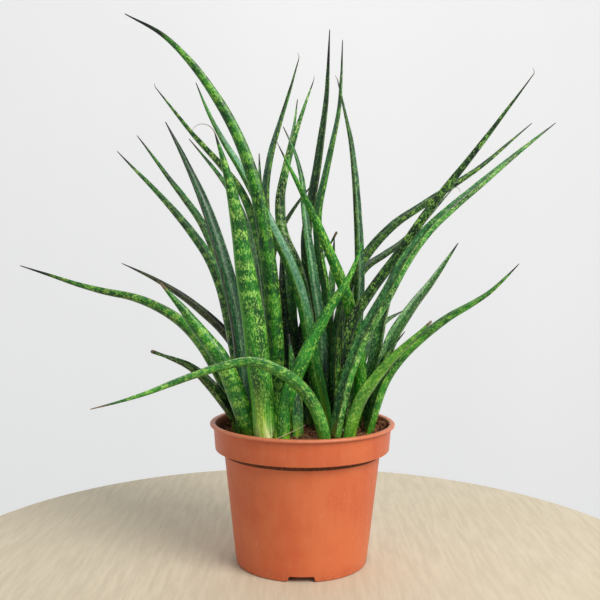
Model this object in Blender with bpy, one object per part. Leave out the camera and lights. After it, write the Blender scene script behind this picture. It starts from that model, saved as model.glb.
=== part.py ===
"""A potted snake plant: a nursery pot, its soil and a clump of narrow channelled leaves.

The origin is at the centre of the pot's underside, +Z is up and -Y is the front.
Lengths are in metres, and the points of the leaves are in millimetres for reading.
"""

import math

import bmesh
import bpy
import numpy as np

MM = 0.001

# Pot
POT_HEIGHT = 0.0912
RIM_RADIUS = 0.060
RIM_LIP_HEIGHT = 0.0020
LIP_ROUND = 0.3 * RIM_LIP_HEIGHT
LIP_OVERHANG = 0.0023
COLLAR_DRAFT = 0.0012
COLLAR_HEIGHT = 0.0171
SHOULDER_STEP = 0.0055
BODY_TAPER = 0.0083
COLLAR_TOP_RADIUS = RIM_RADIUS - LIP_OVERHANG
COLLAR_FOOT_RADIUS = COLLAR_TOP_RADIUS - COLLAR_DRAFT
SHOULDER_RADIUS = COLLAR_FOOT_RADIUS - SHOULDER_STEP
FOOT_RADIUS = SHOULDER_RADIUS - BODY_TAPER
WALL = 0.0013
FOOT_CHAMFER = 0.0005
FOOT_RING_WIDTH = 0.0035
FOOT_RING_HEIGHT = 0.0040
FLOOR_THICKNESS = 0.0016
NOTCH_COUNT = 4
NOTCH_TOP_WIDTH = 0.0150
NOTCH_FOOT_WIDTH = 0.0195
DRAIN_COUNT = 8
DRAIN_RADIUS = 0.0035
DRAIN_INSET = 2.2 * DRAIN_RADIUS
DRAIN_SIDES = 12
CUT_PAST = 0.002
POT_SEGMENTS = 48
SHARP_ABOVE = math.radians(35)

# Soil
SOIL_BELOW_RIM = 0.0095
SOIL_MOUND = 0.0035
SOIL_HUMP_SHARE = 0.25
SOIL_RISE_SHARE = 0.8
SOIL_RISE_TOWARDS = (0.8, 0.6)
SOIL_HUMP_TURNS = (140.0, 120.0)
SOIL_SEGMENTS = 40
SOIL_RING_SHARES = (0.30, 0.58, 0.82)

# Leaves
LEAF_WIDTH_SCALE = 1.0
LEAF_THICKNESS_RATIO = 0.74
PLANT_HEIGHT_SCALE = 1.0
PLANT_SPREAD_SCALE = 1.0
# The leaves' feet move in or out with the pot, from where they stand in a pot of this rim radius.
FEET_RIM_RADIUS = 0.060
FOOT_DEPTH = 0.010
FOOT_SLANT_SHARE = 0.5
LEAF_RINGS = 11
RING_BUNCHING = 0.92
SPINE_SAMPLES = 64
CURVE_STEPS = 12

# Fits
GAP = 0.0003
LEAF_GAP = 0.0010

# How leaves find room beside each other
MOST_ROUNDS = 160
PUSH_REACH = 0.035
PUSH_SHARE = 0.55
LONGEST_PUSH = 0.002
CLOSE_ENOUGH = 0.00002
SIDEWAYS_SHARE = 0.3
UPWARD_SHARE = 0.15
LEAST_DEPTH = 0.0004
LEAST_SLANT = 0.35

# Share of a leaf's width along its length, from the soil to the tip.
WIDTH_ALONG = (
    (0.0, 0.80),
    (0.15, 0.95),
    (0.35, 1.0),
    (0.55, 0.88),
    (0.75, 0.60),
    (0.9, 0.30),
    (1.0, 0.07),
)

# The section across a leaf, in half widths and half thicknesses: a margin, the channel, a margin,
# then the round back.
SECTION = (
    (0.98, 0.42),
    (0.00, 0.08),
    (-0.98, 0.42),
    (-0.92, -0.26),
    (-0.55, -0.82),
    (0.00, -1.00),
    (0.55, -0.82),
    (0.92, -0.26),
)
SOCKET_SECTION = tuple((a, SECTION[0][1] if a == 0 and b > 0 else b) for a, b in SECTION)
SECTION_REACH = max(math.hypot(a, b) for a, b in SECTION)

# Each leaf: name, greatest width in mm, turn of its channel about its own line in degrees, then its
# points in mm from the foot to the tip. X and Y are from the pot's axis and Z is from the soil line.
LEAVES = (
    ("tall_arching_leaf", 11.0, -35,
     ((-19, -14, 0), (-17, -17, 57), (-20, -19, 96), (-36, -23, 177), (-61, -26, 223), (-88, -29, 251),
      (-109, -30, 262))),
    ("broad_banded_leaf", 14.5, -60,
     ((-23, -33, 0), (-26, -34, 35), (-29, -36, 68), (-39, -39, 129), (-44, -42, 158), (-53, -46, 189))),
    ("dark_channelled_leaf", 11.0, 40,
     ((-35, -12, 0), (-39, -13, 60), (-46, -12, 95), (-58, -11, 136), (-70, -10, 166), (-88, -8, 201))),
    ("left_upper_leaf", 10.5, 5,
     ((-37, -2, 0), (-47, 4, 70), (-59, 8, 110), (-83, 14, 143), (-125, 22, 186))),
    ("left_rear_leaf", 9.5, 0,
     ((-33, 8, 0), (-48, 18, 87), (-69, 32, 138), (-91, 45, 167), (-119, 60, 202))),
    ("left_slender_leaf", 10.0, -25,
     ((-15, 9, 0), (-23, 11, 87), (-34, 13, 143), (-45, 14, 166), (-65, 16, 187), (-99, 20, 228))),
    ("left_hidden_leaf", 8.5, 10,
     ((-21, 18, 0), (-31, 32, 93), (-43, 48, 145), (-56, 59, 168), (-84, 75, 202))),
    ("long_middle_leaf", 11.0, 18,
     ((17, -2, 0), (6, 0, 56), (-4, 3, 100), (-21, 5, 136), (-43, 11, 176), (-59, 14, 202), (-72, 18, 231))),
    ("inner_upright_leaf", 8.5, 40,
     ((-9, 20, 0), (-21, 27, 94), (-26, 32, 160), (-22, 35, 189), (-12, 39, 224), (-4, 42, 253))),
    ("bowed_upright_leaf", 10.0, 150,
     ((12, 18, 0), (-2, 24, 104), (-16, 27, 141), (-15, 29, 162), (-8, 31, 193), (6, 34, 236))),
    ("rear_upright_leaf", 8.0, 0,
     ((3, 32, 0), (-12, 48, 107), (-16, 61, 164), (-8, 74, 208), (-5, 80, 232))),
    ("thin_centre_leaf", 8.0, 50,
     ((17, 8, 0), (14, 9, 59), (8, 10, 95), (1, 11, 140), (-3, 13, 176), (-14, 14, 202))),
    ("bright_crossing_leaf", 9.0, -30,
     ((33, 2, 0), (37, 0, 43), (30, -4, 83), (17, -8, 118), (4, -13, 146), (-16, -20, 185))),
    ("tallest_pointed_leaf", 7.5, 30,
     ((20, 15, 0), (16, 14, 88), (9, 14, 137), (15, 17, 175), (23, 20, 215), (25, 24, 261))),
    ("tall_dark_leaf", 8.0, 20,
     ((11, 26, 0), (5, 28, 87), (2, 29, 128), (9, 34, 177), (15, 39, 226), (17, 44, 273))),
    ("rear_crossing_leaf", 7.5, 0,
     ((-14, 36, 0), (-22, 41, 86), (-20, 45, 124), (-5, 49, 153), (10, 52, 172))),
    ("short_brown_tipped_leaf", 8.0, 0,
     ((0, 26, 0), (7, 23, 87), (12, 22, 113), (22, 20, 133))),
    ("upright_front_right_leaf", 8.5, 100,
     ((27, 14, 0), (34, 12, 75), (36, 10, 121), (34, 8, 159), (30, 6, 192), (21, 4, 231))),
    ("front_diagonal_leaf", 9.5, 70,
     ((-15, -36, 0), (-11, -35, 29), (-1, -35, 52), (16, -33, 85), (28, -31, 104), (36, -30, 126))),
    ("low_arching_leaf", 9.5, -15,
     ((15, -41, 0), (7, -46, 27), (-5, -52, 43), (-30, -61, 56), (-55, -72, 52), (-89, -95, 41),
      (-111, -110, 36))),
    ("short_low_left_leaf", 9.5, 20,
     ((-36, -11, 0), (-51, -10, 26), (-70, -9, 45), (-97, -6, 55))),
    ("far_left_leaf", 10.0, -10,
     ((-37, 0, 0), (-48, -6, 30), (-72, -17, 71), (-98, -25, 89), (-129, -36, 97), (-167, -50, 110))),
    ("wide_left_leaf", 12.5, -50,
     ((-28, -25, 0), (-36, -28, 18), (-48, -31, 49), (-67, -35, 76), (-86, -40, 100))),
    ("left_striped_leaf", 9.5, 0,
     ((-31, 10, 0), (-45, 19, 55), (-69, 26, 80), (-102, 40, 100), (-128, 50, 111))),
    ("broken_right_leaf", 10.5, 30,
     ((28, -28, 0), (34, -28, 25), (50, -28, 49), (79, -26, 77))),
    ("far_right_leaf", 10.0, 0,
     ((41, -10, 0), (55, -9, 43), (83, -8, 72), (120, -4, 95), (139, -2, 113))),
    ("right_channelled_leaf", 9.0, -35,
     ((44, 8, 0), (56, 15, 54), (67, 20, 74), (89, 32, 101), (108, 44, 127))),
    ("small_right_leaf", 6.5, 0,
     ((40, 0, 0), (53, 3, 50), (67, 6, 68))),
    ("mottled_right_leaf", 9.0, -10,
     ((42, 16, 0), (49, 20, 50), (56, 27, 81), (67, 36, 113))),
    ("long_right_leaf", 10.8, -8,
     ((19, -30, 0), (31, -29, 55), (47, -29, 87), (70, -25, 126), (118, -6, 169), (164, 10, 205))),
    ("tall_right_leaf", 10.5, 10,
     ((27, -12, 0), (31, -14, 78), (50, -15, 106), (76, -16, 144), (110, -18, 188), (141, -20, 230))),
    ("right_striped_leaf", 9.5, -10,
     ((21, 8, 0), (28, 11, 88), (54, 14, 133), (79, 18, 152), (114, 23, 175), (154, 30, 208))),
    ("right_rear_leaf", 9.0, 0,
     ((24, 22, 0), (29, 29, 73), (37, 34, 103), (70, 48, 128), (108, 66, 167))),
    ("short_centre_leaf", 8.0, 0,
     ((-3, -11, 0), (-4, -8, 21), (-6, -5, 37), (-9, 0, 66))),
    ("shaded_right_leaf", 8.5, 0,
     ((28, 5, 0), (28, 12, 48), (27, 19, 67), (24, 30, 100))),
    ("inner_left_leaf", 8.5, 0,
     ((-27, 24, 0), (-28, 31, 66), (-29, 40, 121), (-32, 60, 190))),
    ("shaded_middle_leaf", 9.0, 0,
     ((-8, 14, 0), (-13, 30, 55), (-15, 40, 95), (-15, 46, 128))),
    ("shaded_centre_leaf", 9.5, 0,
     ((4, 22, 0), (3, 35, 52), (4, 43, 84), (6, 48, 106))),
    ("shaded_back_leaf", 9.0, 0,
     ((14, 26, 0), (14, 38, 50), (15, 46, 80), (17, 51, 98))),
    ("back_left_leaf", 9.5, 15,
     ((-22, 34, 0), (-30, 56, 36), (-44, 80, 52), (-58, 100, 54))),
    ("back_low_leaf", 9.5, -10,
     ((-6, 44, 0), (-8, 66, 56), (-6, 92, 90), (-2, 110, 104))),
    ("back_leaning_leaf", 9.0, 10,
     ((14, 40, 0), (18, 60, 64), (22, 84, 104), (24, 106, 132))),
    ("back_upright_leaf", 9.0, 20,
     ((4, 20, 0), (8, 46, 76), (10, 70, 122), (6, 88, 152))),
    ("back_right_leaf", 9.0, -15,
     ((30, 30, 0), (42, 54, 44), (58, 80, 66), (78, 104, 76))),
    ("back_short_leaf", 8.5, 0,
     ((-12, 22, 0), (-18, 44, 58), (-26, 66, 92), (-36, 86, 112))),
)


def clear_scene():
    for obj in list(bpy.data.objects):
        bpy.data.objects.remove(obj, do_unlink=True)


def new_material(name, colour, roughness):
    material = bpy.data.materials.new(name)
    material.use_nodes = True
    shader = material.node_tree.nodes["Principled BSDF"]
    shader.inputs["Base Color"].default_value = (*colour, 1.0)
    shader.inputs["Roughness"].default_value = roughness
    shader.inputs["Metallic"].default_value = 0.0
    return material


def new_object(name, vertices, faces, material):
    mesh = bpy.data.meshes.new(name)
    mesh.from_pydata([tuple(map(float, v)) for v in vertices], [], faces)
    mesh.shade_smooth()
    mesh.set_sharp_from_angle(angle=math.radians(40))
    mesh.materials.append(material)
    obj = bpy.data.objects.new(name, mesh)
    bpy.context.scene.collection.objects.link(obj)
    return obj


def add_cutter(target, cutter):
    """Cuts one helper object out of another, and keeps the helper out of the render."""
    cutter.hide_render = True
    cutter.display_type = "WIRE"
    cut = target.modifiers.new("cut_" + cutter.name, "BOOLEAN")
    cut.operation = "DIFFERENCE"
    cut.solver = "EXACT"
    cut.object = cutter


# ---------------------------------------------------------------- pot


def collar_foot_z():
    return POT_HEIGHT - COLLAR_HEIGHT


def floor_top_z():
    return FOOT_RING_HEIGHT + FLOOR_THICKNESS


def body_radius(z):
    """Outer radius of the tapering body below the collar."""
    share = z / collar_foot_z()
    return FOOT_RADIUS + (SHOULDER_RADIUS - FOOT_RADIUS) * share


def inner_radius(z):
    """Radius of the pot's inner wall at a height above its floor."""
    if z < collar_foot_z() + WALL:
        return body_radius(z) - WALL
    share = (z - collar_foot_z()) / COLLAR_HEIGHT
    outer = COLLAR_FOOT_RADIUS + (COLLAR_TOP_RADIUS - COLLAR_FOOT_RADIUS) * share
    return outer - WALL


def turned(name, profile, segments, material):
    """Turns a closed (radius, height) outline, with its last point joined to its first."""
    mesh = bpy.data.meshes.new(name)
    outline = bmesh.new()
    ring = [outline.verts.new((radius, 0.0, z)) for radius, z in profile]
    edges = [outline.edges.new((a, b)) for a, b in zip(ring, ring[1:] + ring[:1])]
    bmesh.ops.spin(
        outline,
        geom=ring + edges,
        axis=(0, 0, 1),
        cent=(0, 0, 0),
        steps=segments,
        angle=math.tau,
        use_merge=True,
    )
    bmesh.ops.remove_doubles(outline, verts=outline.verts, dist=1e-6)
    bmesh.ops.recalc_face_normals(outline, faces=outline.faces)
    outline.to_mesh(mesh)
    outline.free()
    mesh.shade_smooth()
    mesh.set_sharp_from_angle(angle=SHARP_ABOVE)
    mesh.materials.append(material)
    obj = bpy.data.objects.new(name, mesh)
    bpy.context.scene.collection.objects.link(obj)
    return obj


def pot_outside():
    """The outer outline, from the foot up to the top of the rim."""
    lip_foot = POT_HEIGHT - RIM_LIP_HEIGHT
    return [
        (FOOT_RADIUS - WALL, 0.0),
        (FOOT_RADIUS, FOOT_CHAMFER),
        (body_radius(collar_foot_z()), collar_foot_z()),
        (COLLAR_FOOT_RADIUS, collar_foot_z()),
        (COLLAR_TOP_RADIUS, lip_foot),
        (RIM_RADIUS - LIP_ROUND, lip_foot),
        (RIM_RADIUS, lip_foot + LIP_ROUND),
        (RIM_RADIUS, POT_HEIGHT - LIP_ROUND),
        (RIM_RADIUS - LIP_ROUND, POT_HEIGHT),
    ]


def pot_inside():
    """The inner outline, from the rim down to the floor."""
    ledge = collar_foot_z() + WALL
    return [
        (inner_radius(POT_HEIGHT) + LIP_ROUND, POT_HEIGHT),
        (inner_radius(POT_HEIGHT - LIP_ROUND), POT_HEIGHT - LIP_ROUND),
        (inner_radius(ledge), ledge),
        (body_radius(ledge) - WALL, ledge),
        (body_radius(floor_top_z()) - WALL, floor_top_z()),
    ]


def pot_profile():
    """One closed outline for the wall and the raised foot ring, open over the floor's middle."""
    ring_inside = FOOT_RADIUS - FOOT_RING_WIDTH
    middle = DRAIN_RADIUS
    return (
        pot_outside()
        + pot_inside()
        + [(middle, floor_top_z()), (middle, FOOT_RING_HEIGHT)]
        + [(ring_inside, FOOT_RING_HEIGHT), (ring_inside, 0.0)]
    )


def notch_cutter(turn):
    """A wedge through the foot ring, wider at the table than at its top."""
    near = FOOT_RADIUS - FOOT_RING_WIDTH - WALL
    far = FOOT_RADIUS + FOOT_RING_WIDTH
    below = -CUT_PAST
    top = FOOT_RING_HEIGHT - GAP
    halves = ((below, NOTCH_FOOT_WIDTH / 2), (top, NOTCH_TOP_WIDTH / 2))
    corners = [(x, -y, z) for y in (near, far) for z, half in halves for x in (-half, half)]
    cos, sin = math.cos(turn), math.sin(turn)
    return [(x * cos - y * sin, x * sin + y * cos, z) for x, y, z in corners]


BOX_FACES = [(0, 1, 5, 4), (2, 6, 7, 3), (0, 4, 6, 2), (1, 3, 7, 5), (0, 2, 3, 1), (4, 5, 7, 6)]


def drain_cutter(turn):
    """A short post through the floor, just inside the foot ring."""
    reach = FOOT_RADIUS - FOOT_RING_WIDTH - DRAIN_INSET
    sides = DRAIN_SIDES
    low, high = FOOT_RING_HEIGHT - CUT_PAST, floor_top_z() + CUT_PAST
    points = []
    for z in (low, high):
        for k in range(sides):
            angle = math.tau * k / sides
            x = reach * math.cos(turn) + DRAIN_RADIUS * math.cos(angle)
            y = reach * math.sin(turn) + DRAIN_RADIUS * math.sin(angle)
            points.append((x, y, z))
    faces = [tuple(range(sides))[::-1], tuple(range(sides, 2 * sides))]
    faces += [(k, (k + 1) % sides, sides + (k + 1) % sides, sides + k) for k in range(sides)]
    return points, faces


def joined_cutter(name, solids, material):
    """One helper object made of several separate closed solids, each with its faces turned out."""
    points, faces = [], []
    for solid_points, solid_faces in solids:
        start = len(points)
        points += list(solid_points)
        faces += [tuple(start + k for k in face) for face in solid_faces]
    cutter = new_object(name, points, faces, material)
    solid = bmesh.new()
    solid.from_mesh(cutter.data)
    bmesh.ops.recalc_face_normals(solid, faces=solid.faces)
    solid.to_mesh(cutter.data)
    solid.free()
    return cutter


def build_pot(material):
    pot = turned("nursery_pot", pot_profile(), POT_SEGMENTS, material)
    notches = [(notch_cutter(math.tau * k / NOTCH_COUNT), BOX_FACES) for k in range(NOTCH_COUNT)]
    drains = [drain_cutter(math.tau * (k + 0.5) / DRAIN_COUNT) for k in range(DRAIN_COUNT)]
    add_cutter(pot, joined_cutter("pot_openings_cutter", notches + drains, material))
    return pot


# ---------------------------------------------------------------- leaves


def soil_line():
    return POT_HEIGHT - SOIL_BELOW_RIM


def through_points(points, count):
    """A smooth curve through the points, read at even steps of its length."""
    points = np.asarray(points, float)
    ends = np.vstack([2 * points[0] - points[1], points, 2 * points[-1] - points[-2]])
    steps = np.linspace(0, 1, CURVE_STEPS, endpoint=False)[:, None]
    curve = []
    for p0, p1, p2, p3 in zip(ends, ends[1:], ends[2:], ends[3:]):
        length = np.linalg.norm(p2 - p1)
        before = max(np.linalg.norm(p1 - p0), 1e-6)
        after = max(np.linalg.norm(p3 - p2), 1e-6)
        out = length * ((p1 - p0) / before + (p2 - p1) / length) / 2
        into = length * ((p2 - p1) / length + (p3 - p2) / after) / 2
        square, cube = steps**2, steps**3
        curve.append(
            (2 * cube - 3 * square + 1) * p1
            + (cube - 2 * square + steps) * out
            + (3 * square - 2 * cube) * p2
            + (cube - square) * into
        )
    curve = np.vstack(curve + [points[-1:]])
    return read_evenly(curve, np.linspace(0, 1, count))


def lengths_along(curve):
    return np.concatenate([[0.0], np.cumsum(np.linalg.norm(np.diff(curve, axis=0), axis=1))])


def read_evenly(curve, shares):
    """The curve's points at the given shares of its whole length."""
    along = lengths_along(curve)
    return np.stack([np.interp(shares * along[-1], along, curve[:, k]) for k in range(3)], axis=1)


def leaf_spine(points):
    """The line of one leaf in metres, from below the soil to its tip."""
    scale = (PLANT_SPREAD_SCALE, PLANT_SPREAD_SCALE, PLANT_HEIGHT_SCALE)
    chosen = np.array(points, float) * MM * scale
    foot_scale = RIM_RADIUS / FEET_RIM_RADIUS
    chosen[:, :2] += np.array(points[0][:2]) * MM * (foot_scale - PLANT_SPREAD_SCALE)
    chosen[:, 2] += soil_line()
    first = chosen[1] - chosen[0]
    below = chosen[0] - first / first[2] * FOOT_DEPTH * FOOT_SLANT_SHARE
    below[2] = soil_line() - FOOT_DEPTH
    return through_points(np.vstack([below, chosen]), SPINE_SAMPLES)


def leaf_widths(width, shares):
    return width * MM * LEAF_WIDTH_SCALE * np.interp(shares, *zip(*WIDTH_ALONG))


def leaf_frames(spine, turn):
    """Along, across and channel-side directions at each point of the line."""
    along = np.gradient(spine, axis=0)
    along /= np.linalg.norm(along, axis=1)[:, None]
    heading = spine[-1] - spine[0]
    heading[2] = 0
    heading /= np.linalg.norm(heading)
    side = np.cross((0, 0, 1), heading)
    across = side - (along @ side)[:, None] * along
    across /= np.linalg.norm(across, axis=1)[:, None]
    inner = np.cross(along, across)
    cos, sin = math.cos(math.radians(turn)), math.sin(math.radians(turn))
    return along, across * cos - inner * sin, inner * cos + across * sin


def reach_towards(direction, across, inner, half_width, half_thickness):
    """How far the oval around a section reaches in a direction, for many pairs at once."""
    wide = half_width * (direction * across).sum(-1)
    thick = half_thickness * (direction * inner).sum(-1)
    return SECTION_REACH * np.sqrt(wide**2 + thick**2)


class Leaf:
    def __init__(self, name, width, turn, points):
        self.name = name
        self.width = width
        self.turn = turn
        self.spine = leaf_spine(points)
        self.measure()

    def measure(self):
        shares = np.linspace(0, 1, len(self.spine))
        self.along, self.across, self.inner = leaf_frames(self.spine, self.turn)
        self.half_width = leaf_widths(self.width, shares) / 2
        self.half_thickness = self.half_width * LEAF_THICKNESS_RATIO
        self.length = lengths_along(self.spine)

    def push(self, place, shift):
        """Moves the leaf near one sample, fading smoothly along its length."""
        fade = np.exp(-(((self.length - self.length[place]) / PUSH_REACH) ** 2))
        self.spine += fade[:, None] * shift


def deepest_meeting(one, two):
    """The closest pair of samples of two leaves, as (overlap, sample of one, sample of two)."""
    offset = two.spine[None, :, :] - one.spine[:, None, :]
    distance = np.linalg.norm(offset, axis=2)
    direction = offset / np.maximum(distance, 1e-6)[:, :, None]
    room = reach_towards(
        direction,
        one.across[:, None],
        one.inner[:, None],
        one.half_width[:, None],
        one.half_thickness[:, None],
    )
    room += reach_towards(
        direction,
        two.across[None],
        two.inner[None],
        two.half_width[None],
        two.half_thickness[None],
    )
    overlap = room + LEAF_GAP - distance
    place = np.unravel_index(np.argmax(overlap), overlap.shape)
    return overlap[place], place[0], place[1]


def far_apart(one, two):
    margin = one.half_width.max() + two.half_width.max() + LEAF_GAP
    low = np.maximum(one.spine.min(axis=0), two.spine.min(axis=0))
    high = np.minimum(one.spine.max(axis=0), two.spine.max(axis=0))
    return bool((low - high > margin).any())


def part_two(one, two):
    """Pushes two leaves apart where they meet, mostly from front to back. True if it had to."""
    overlap, at_one, at_two = deepest_meeting(one, two)
    if overlap < CLOSE_ENOUGH:
        return False
    offset = two.spine[at_two] - one.spine[at_one]
    depth = math.copysign(max(abs(offset[1]), LEAST_DEPTH), offset[1] or 1.0)
    direction = np.array((SIDEWAYS_SHARE * offset[0], depth, UPWARD_SHARE * offset[2]))
    direction /= np.linalg.norm(direction)
    true_direction = offset / np.linalg.norm(offset)
    amount = overlap / max(float(direction @ true_direction), LEAST_SLANT)
    step = min(amount, LONGEST_PUSH) * PUSH_SHARE
    one.push(at_one, -direction * step)
    two.push(at_two, direction * step)
    return True


def keep_inside_pot(leaf):
    """Draws a leaf's low part in from the pot's wall and rim. True if it had to."""
    low = leaf.spine[:, 2] < POT_HEIGHT + leaf.half_width + LEAF_GAP
    radius = np.hypot(leaf.spine[:, 0], leaf.spine[:, 1])
    walls = [inner_radius(min(z, POT_HEIGHT)) for z in leaf.spine[:, 2]]
    excess = np.where(low, radius + leaf.half_width + LEAF_GAP - walls, -1.0)
    worst = int(np.argmax(excess))
    if excess[worst] < CLOSE_ENOUGH:
        return False
    outward = np.array((*leaf.spine[worst, :2] / radius[worst], 0.0))
    leaf.push(worst, -outward * min(excess[worst], LONGEST_PUSH))
    return True


def part_leaves(leaves):
    """Lets the leaves find room beside each other, in small steps."""
    for _ in range(MOST_ROUNDS):
        moved = False
        for k, one in enumerate(leaves):
            for two in leaves[k + 1:]:
                if not far_apart(one, two):
                    moved |= part_two(one, two)
        for leaf in leaves:
            moved |= keep_inside_pot(leaf)
            leaf.measure()
        if not moved:
            break


def ring_points(section, centre, across, inner, half_width, half_thickness):
    return [centre + a * half_width * across + b * half_thickness * inner for a, b in section]


def loft(rings, tip):
    """A closed solid over a row of rings, flat at its foot and pointed at its tip."""
    sides = len(rings[0])
    points = [p for ring in rings for p in ring] + [tip]
    faces = [tuple(range(sides))[::-1]]
    for row in range(len(rings) - 1):
        start = row * sides
        for k in range(sides):
            after = (k + 1) % sides
            faces.append((start + k, start + after, start + sides + after))
            faces.append((start + k, start + sides + after, start + sides + k))
    last = (len(rings) - 1) * sides
    faces += [(last + k, last + (k + 1) % sides, len(points) - 1) for k in range(sides)]
    return points, faces


def leaf_rings(leaf, shares, section=SECTION, extra=0.0):
    """The leaf's sections at these shares of its length, each grown by an extra."""
    place = shares * (len(leaf.spine) - 1)
    samples = np.arange(len(leaf.spine))

    def read(values):
        return np.stack([np.interp(place, samples, values[:, k]) for k in range(3)], axis=1)

    centre, across, inner = read(leaf.spine), read(leaf.across), read(leaf.inner)
    half_width = np.interp(place, samples, leaf.half_width) + extra
    half_thickness = np.interp(place, samples, leaf.half_thickness) + extra
    rows = zip(centre, across, inner, half_width, half_thickness)
    return [ring_points(section, *row) for row in rows]


def ring_shares():
    """Where along a leaf its sections stand, a little closer together towards the tip."""
    return np.linspace(0, 1, LEAF_RINGS + 1)[:-1] ** RING_BUNCHING


def build_leaf(leaf, material):
    points, faces = loft(leaf_rings(leaf, ring_shares()), leaf.spine[-1])
    return new_object(leaf.name, points, faces, material)


def socket_solid(leaf):
    """The room that a leaf's foot needs in the soil, up to the first section clear of it."""
    top = soil_line() + SOIL_MOUND
    rings = leaf_rings(leaf, ring_shares(), SOCKET_SECTION, GAP)
    lowest = np.array([min(point[2] for point in ring) for ring in rings])
    rings = rings[: int(np.argmax(lowest > top)) + 1]
    rings[0] = [point - leaf.along[0] * GAP for point in rings[0]]
    return loft(rings, np.mean(rings[-1], axis=0) + leaf.along[0] * GAP)


# ---------------------------------------------------------------- soil


def soil_height(x, y, edge):
    """Height of the uneven top: a low mound to the back right and a few soft humps."""
    share = math.hypot(x, y) / edge
    rise = 0.5 + 0.5 * (x * SOIL_RISE_TOWARDS[0] + y * SOIL_RISE_TOWARDS[1]) / edge
    wave = math.sin(SOIL_HUMP_TURNS[0] * x + 1.0) * math.cos(SOIL_HUMP_TURNS[1] * y)
    hump = SOIL_HUMP_SHARE * wave * (1 - share)
    return soil_line() + SOIL_MOUND * (rise * SOIL_RISE_SHARE + hump)


def soil_mesh():
    """A plug that fills the pot: a flat foot, the pot's own taper and ledge, and an uneven top."""
    ledge = collar_foot_z() + WALL + GAP
    edge = inner_radius(soil_line()) - GAP
    rings = [
        (inner_radius(floor_top_z()) - 3 * GAP, floor_top_z() + GAP),
        (inner_radius(ledge - 3 * GAP) - 3 * GAP, ledge),
        (inner_radius(ledge + WALL) - 3 * GAP, ledge),
        (edge - 2 * GAP, None),
    ] + [((edge - 2 * GAP) * share, None) for share in reversed(SOIL_RING_SHARES)]
    points = []
    for radius, z in rings:
        for k in range(SOIL_SEGMENTS):
            angle = math.tau * k / SOIL_SEGMENTS
            x, y = radius * math.cos(angle), radius * math.sin(angle)
            points.append((x, y, soil_height(x, y, edge) if z is None else z))
    points.append((0.0, 0.0, soil_height(0.0, 0.0, edge)))
    faces = [tuple(range(SOIL_SEGMENTS))[::-1]]
    for row in range(len(rings) - 1):
        start = row * SOIL_SEGMENTS
        for k in range(SOIL_SEGMENTS):
            after = (k + 1) % SOIL_SEGMENTS
            low, high = start, start + SOIL_SEGMENTS
            faces.append((low + k, low + after, high + after, high + k))
    last = (len(rings) - 1) * SOIL_SEGMENTS
    middle = len(points) - 1
    faces += [(last + k, last + (k + 1) % SOIL_SEGMENTS, middle) for k in range(SOIL_SEGMENTS)]
    return points, faces


def build_soil(leaves, material):
    points, faces = soil_mesh()
    soil = new_object("soil", points, faces, material)
    sockets = joined_cutter("leaf_sockets_cutter", [socket_solid(leaf) for leaf in leaves], material)
    add_cutter(soil, sockets)
    return soil


def build():
    clear_scene()
    terracotta = new_material("terracotta_plastic", (0.62, 0.20, 0.07), 0.42)
    compost = new_material("coir_compost", (0.16, 0.07, 0.035), 0.95)
    green = new_material("leaf_green", (0.08, 0.19, 0.04), 0.45)
    build_pot(terracotta)
    leaves = [Leaf(*row) for row in LEAVES]
    part_leaves(leaves)
    for leaf in leaves:
        build_leaf(leaf, green)
    build_soil(leaves, compost)


build()
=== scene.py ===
"""The looks of a potted snake plant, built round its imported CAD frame.

The pot is turned again from the frame's outline with rounded corners, the soil gets a crumbly coir
surface with loose fibres, and each leaf is lofted finely over the sections of its own CAD node.
Lengths are in metres, unless a name ends in _mm or the comment beside it says mm.
"""

import math
import random

import bmesh
import bpy
import numpy as np
from mathutils import Matrix, Vector


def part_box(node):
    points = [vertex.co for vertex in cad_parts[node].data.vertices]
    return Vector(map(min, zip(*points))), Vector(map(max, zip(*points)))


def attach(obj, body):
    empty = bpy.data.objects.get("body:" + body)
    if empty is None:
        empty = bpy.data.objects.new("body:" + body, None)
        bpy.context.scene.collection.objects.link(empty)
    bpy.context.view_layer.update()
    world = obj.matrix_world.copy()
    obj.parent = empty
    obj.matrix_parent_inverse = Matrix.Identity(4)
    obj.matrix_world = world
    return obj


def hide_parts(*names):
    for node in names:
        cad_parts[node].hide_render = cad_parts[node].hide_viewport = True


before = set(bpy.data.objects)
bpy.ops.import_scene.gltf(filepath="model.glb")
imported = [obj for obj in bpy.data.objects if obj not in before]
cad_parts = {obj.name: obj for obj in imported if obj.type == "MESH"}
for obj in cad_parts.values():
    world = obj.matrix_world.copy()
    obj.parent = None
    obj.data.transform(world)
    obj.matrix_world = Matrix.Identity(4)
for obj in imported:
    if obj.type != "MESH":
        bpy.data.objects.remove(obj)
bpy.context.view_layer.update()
MM = 0.001
SEED = 414
SOIL_BELOW_RIM = 9.5 * MM
SOIL_EDGE = float(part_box("nursery_pot")[1].z) - SOIL_BELOW_RIM
# A full ring of the CAD pot or soil has at least this many points.
RING_POINTS = 30

# ------------ camera and studio

CAMERA_PLACE = (-0.00211, -0.5504, 0.1972)
CAMERA_PITCH = 2.81
CAMERA_ROLL = 0.415
CAMERA_LENS = 51.0
CAMERA_SENSOR = 36.0

TABLE_RADIUS = 0.247
TABLE_BACK = 0.241
TABLE_THICKNESS = 0.02
TABLE_SIDES = 160
WALL_DISTANCE = 1.6
WALL_REACH = 3.0
WALL_LOW, WALL_HIGH = -1.5, 2.5
WALL_GLOW = 0.24
ROOM_COLOUR = (0.93, 0.96, 1.0, 1.0)
ROOM_LIGHT = 0.47
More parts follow.
